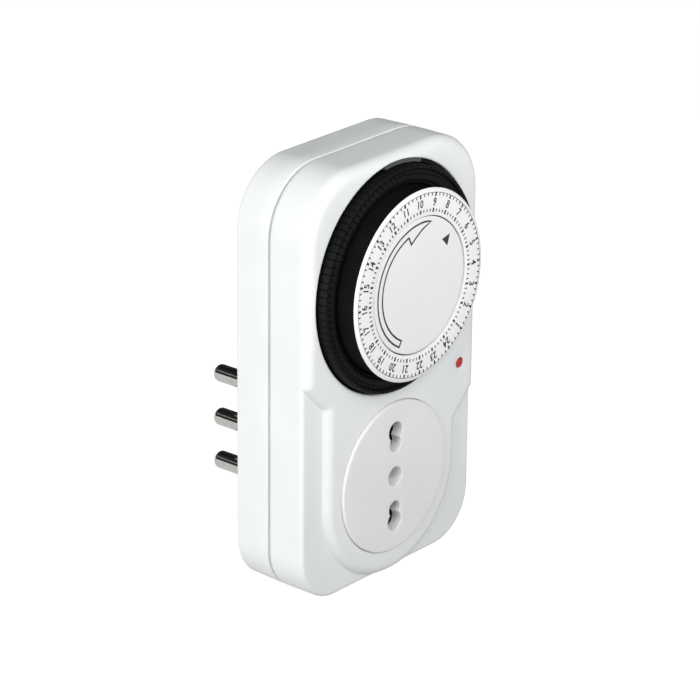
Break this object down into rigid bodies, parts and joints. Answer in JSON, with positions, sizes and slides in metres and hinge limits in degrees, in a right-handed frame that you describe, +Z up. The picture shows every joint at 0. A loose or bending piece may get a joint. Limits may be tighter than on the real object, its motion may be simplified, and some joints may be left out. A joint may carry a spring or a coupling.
{
  "type": "plug-in programmable timer",
  "caption": "Plug-in mechanical 24-hour timer: round segment dial above a pass-through socket, side override switch, indicator light and a three-pin plug behind.",
  "frame": {"origin": "centre of the earth pin where it leaves the rear face of the plug block", "axes": "+Z up the wall, +Y out of the back along the pins towards the wall socket, +X to the right of someone facing the dial"},
  "size_m": [0.0714, 0.0712, 0.1186],
  "materials": {
    "case_white": "smooth satin white moulding",
    "socket_white": "smooth satin white moulding",
    "ring_white": "white moulding with printed black scale",
    "disc_white": "pale grey-white disc with a printed arrow",
    "shutter_grey": "matt dark grey moulding",
    "spring_steel": "bright spring wire",
    "nickel": "nickel-plated turned pin",
    "contact_brass": "stamped brass strip",
    "switch_grey": "matt dark moulding",
    "plunger_red": "glossy red moulding",
    "natural_plastic": "natural acetal",
    "motor_steel": "zinc-plated pressed steel",
    "coil_copper": "enamelled copper winding",
    "rotor_black": "dark ferrite magnet",
    "dial_black": "semi-matt black moulding",
    "index_grey": "matt grey moulding",
    "lens_red": "translucent red lens",
    "lamp_glass": "small glass lamp",
    "resistor_body": "lacquered resistor",
    "screw_steel": "zinc-plated screw"
  },
  "bodies": {
    "case": {"front_shell": "case_white", "rear_shell": "case_white", "socket_insert": "socket_white", "shutter_spring": "spring_steel", "pin_line": "nickel", "pin_neutral": "nickel", "pin_earth": "nickel", "contact_line": "contact_brass", "contact_neutral": "contact_brass", "contact_earth": "contact_brass", "bus_line": "contact_brass", "bus_neutral": "contact_brass", "bus_earth": "contact_brass", "bus_switched": "contact_brass", "switch_case": "switch_grey", "switch_lid": "switch_grey", "motor_can": "motor_steel", "motor_plate": "motor_steel", "motor_coil": "coil_copper", "centre_disc": "disc_white", "mechanism_plate": "natural_plastic", "index_arc": "index_grey", "indicator_lens": "lens_red", "neon_lamp": "lamp_glass", "lamp_resistor": "resistor_body", "case_screws": "screw_steel", "plate_screws": "screw_steel"},
    "shutter": {"shutter": "shutter_grey"},
    "plunger": {"switch_plunger": "plunger_red"},
    "blade": {"switch_blade": "contact_brass"},
    "lever": {"switch_lever": "natural_plastic"},
    "slider": {"override_slider": "plunger_red"},
    "rotor": {"motor_rotor": "rotor_black"},
    "pinion": {"drive_pinion": "natural_plastic"},
    "dial": {"dial_drum": "dial_black", "number_ring": "ring_white"},
    "tappets_00": {"tappets_00": "dial_black"},
    "tappets_01": {"tappets_01": "dial_black"},
    "tappets_02": {"tappets_02": "dial_black"},
    "tappets_03": {"tappets_03": "dial_black"},
    "tappets_04": {"tappets_04": "dial_black"},
    "tappets_05": {"tappets_05": "dial_black"},
    "tappets_06": {"tappets_06": "dial_black"},
    "tappets_07": {"tappets_07": "dial_black"},
    "tappets_08": {"tappets_08": "dial_black"},
    "tappets_09": {"tappets_09": "dial_black"},
    "tappets_10": {"tappets_10": "dial_black"},
    "tappets_11": {"tappets_11": "dial_black"},
    "tappets_12": {"tappets_12": "dial_black"},
    "tappets_13": {"tappets_13": "dial_black"},
    "tappets_14": {"tappets_14": "dial_black"},
    "tappets_15": {"tappets_15": "dial_black"},
    "tappets_16": {"tappets_16": "dial_black"},
    "tappets_17": {"tappets_17": "dial_black"},
    "tappets_18": {"tappets_18": "dial_black"},
    "tappets_19": {"tappets_19": "dial_black"},
    "tappets_20": {"tappets_20": "dial_black"},
    "tappets_21": {"tappets_21": "dial_black"},
    "tappets_22": {"tappets_22": "dial_black"},
    "tappets_23": {"tappets_23": "dial_black"}
  },
  "joints": [
    {"name": "dial_spin", "type": "hinge", "parent": "case", "child": "dial", "pos_m": [0, -0.0475, 0.0563], "axis": [0, 1, 0], "continuous": true},
    {"name": "pinion_spin", "type": "hinge", "parent": "case", "child": "pinion", "pos_m": [0, -0.039, 0.0743], "axis": [0, 1, 0], "continuous": true},
    {"name": "rotor_spin", "type": "hinge", "parent": "case", "child": "rotor", "pos_m": [0, -0.03, 0.0648], "axis": [0, 1, 0], "continuous": true},
    {"name": "lever_swing", "type": "hinge", "parent": "case", "child": "lever", "pos_m": [0.0285, -0.0346, 0.0423], "axis": [-1, 0, 0], "range_deg": [0, 8]},
    {"name": "plunger_press", "type": "slide", "parent": "case", "child": "plunger", "axis": [0, 1, 0], "range_m": [0, 0.0011]},
    {"name": "blade_flex", "type": "hinge", "parent": "case", "child": "blade", "pos_m": [0.0285, -0.0296, 0.043], "axis": [-1, 0, 0], "range_deg": [0, 9]},
    {"name": "override_slide", "type": "slide", "parent": "case", "child": "slider", "axis": [0, 0, -1], "range_m": [0, 0.004]},
    {"name": "shutter_slide", "type": "slide", "parent": "case", "child": "shutter", "axis": [1, 0, 0], "range_m": [0, 0.0056], "stiffness_N_per_m": 100, "springref_m": -0.002, "deforming": ["shutter_spring"]},
    {"name": "tappets_00_push", "type": "slide", "parent": "dial", "child": "tappets_00", "axis": [0, 1, 0], "range_m": [0, 0.0023]},
    {"name": "tappets_01_push", "type": "slide", "parent": "dial", "child": "tappets_01", "axis": [0, 1, 0], "range_m": [0, 0.0023]},
    {"name": "tappets_02_push", "type": "slide", "parent": "dial", "child": "tappets_02", "axis": [0, 1, 0], "range_m": [0, 0.0023]},
    {"name": "tappets_03_push", "type": "slide", "parent": "dial", "child": "tappets_03", "axis": [0, 1, 0], "range_m": [0, 0.0023]},
    {"name": "tappets_04_push", "type": "slide", "parent": "dial", "child": "tappets_04", "axis": [0, 1, 0], "range_m": [0, 0.0023]},
    {"name": "tappets_05_push", "type": "slide", "parent": "dial", "child": "tappets_05", "axis": [0, 1, 0], "range_m": [0, 0.0023]},
    {"name": "tappets_06_push", "type": "slide", "parent": "dial", "child": "tappets_06", "axis": [0, 1, 0], "range_m": [0, 0.0023]},
    {"name": "tappets_07_push", "type": "slide", "parent": "dial", "child": "tappets_07", "axis": [0, 1, 0], "range_m": [0, 0.0023]},
    {"name": "tappets_08_push", "type": "slide", "parent": "dial", "child": "tappets_08", "axis": [0, 1, 0], "range_m": [0, 0.0023]},
    {"name": "tappets_09_push", "type": "slide", "parent": "dial", "child": "tappets_09", "axis": [0, 1, 0], "range_m": [0, 0.0023]},
    {"name": "tappets_10_push", "type": "slide", "parent": "dial", "child": "tappets_10", "axis": [0, 1, 0], "range_m": [0, 0.0023]},
    {"name": "tappets_11_push", "type": "slide", "parent": "dial", "child": "tappets_11", "axis": [0, 1, 0], "range_m": [0, 0.0023]},
    {"name": "tappets_12_push", "type": "slide", "parent": "dial", "child": "tappets_12", "axis": [0, 1, 0], "range_m": [0, 0.0023]},
    {"name": "tappets_13_push", "type": "slide", "parent": "dial", "child": "tappets_13", "axis": [0, 1, 0], "range_m": [0, 0.0023]},
    {"name": "tappets_14_push", "type": "slide", "parent": "dial", "child": "tappets_14", "axis": [0, 1, 0], "range_m": [0, 0.0023]},
    {"name": "tappets_15_push", "type": "slide", "parent": "dial", "child": "tappets_15", "axis": [0, 1, 0], "range_m": [0, 0.0023]},
    {"name": "tappets_16_push", "type": "slide", "parent": "dial", "child": "tappets_16", "axis": [0, 1, 0], "range_m": [0, 0.0023]},
    {"name": "tappets_17_push", "type": "slide", "parent": "dial", "child": "tappets_17", "axis": [0, 1, 0], "range_m": [0, 0.0023]},
    {"name": "tappets_18_push", "type": "slide", "parent": "dial", "child": "tappets_18", "axis": [0, 1, 0], "range_m": [0, 0.0023]},
    {"name": "tappets_19_push", "type": "slide", "parent": "dial", "child": "tappets_19", "axis": [0, 1, 0], "range_m": [0, 0.0023]},
    {"name": "tappets_20_push", "type": "slide", "parent": "dial", "child": "tappets_20", "axis": [0, 1, 0], "range_m": [0, 0.0023]},
    {"name": "tappets_21_push", "type": "slide", "parent": "dial", "child": "tappets_21", "axis": [0, 1, 0], "range_m": [0, 0.0023]},
    {"name": "tappets_22_push", "type": "slide", "parent": "dial", "child": "tappets_22", "axis": [0, 1, 0], "range_m": [0, 0.0023]},
    {"name": "tappets_23_push", "type": "slide", "parent": "dial", "child": "tappets_23", "axis": [0, 1, 0], "range_m": [0, 0.0023]}
  ],
  "couplings": [
    {"joint": "pinion_spin", "follows": "dial_spin", "ratio": -4},
    {"joint": "lever_swing", "follows": "tappets_04_push", "rad_per_m": 60},
    {"joint": "plunger_press", "follows": "tappets_04_push", "ratio": 0.462},
    {"joint": "blade_flex", "follows": "tappets_04_push", "rad_per_m": 66}
  ]
}
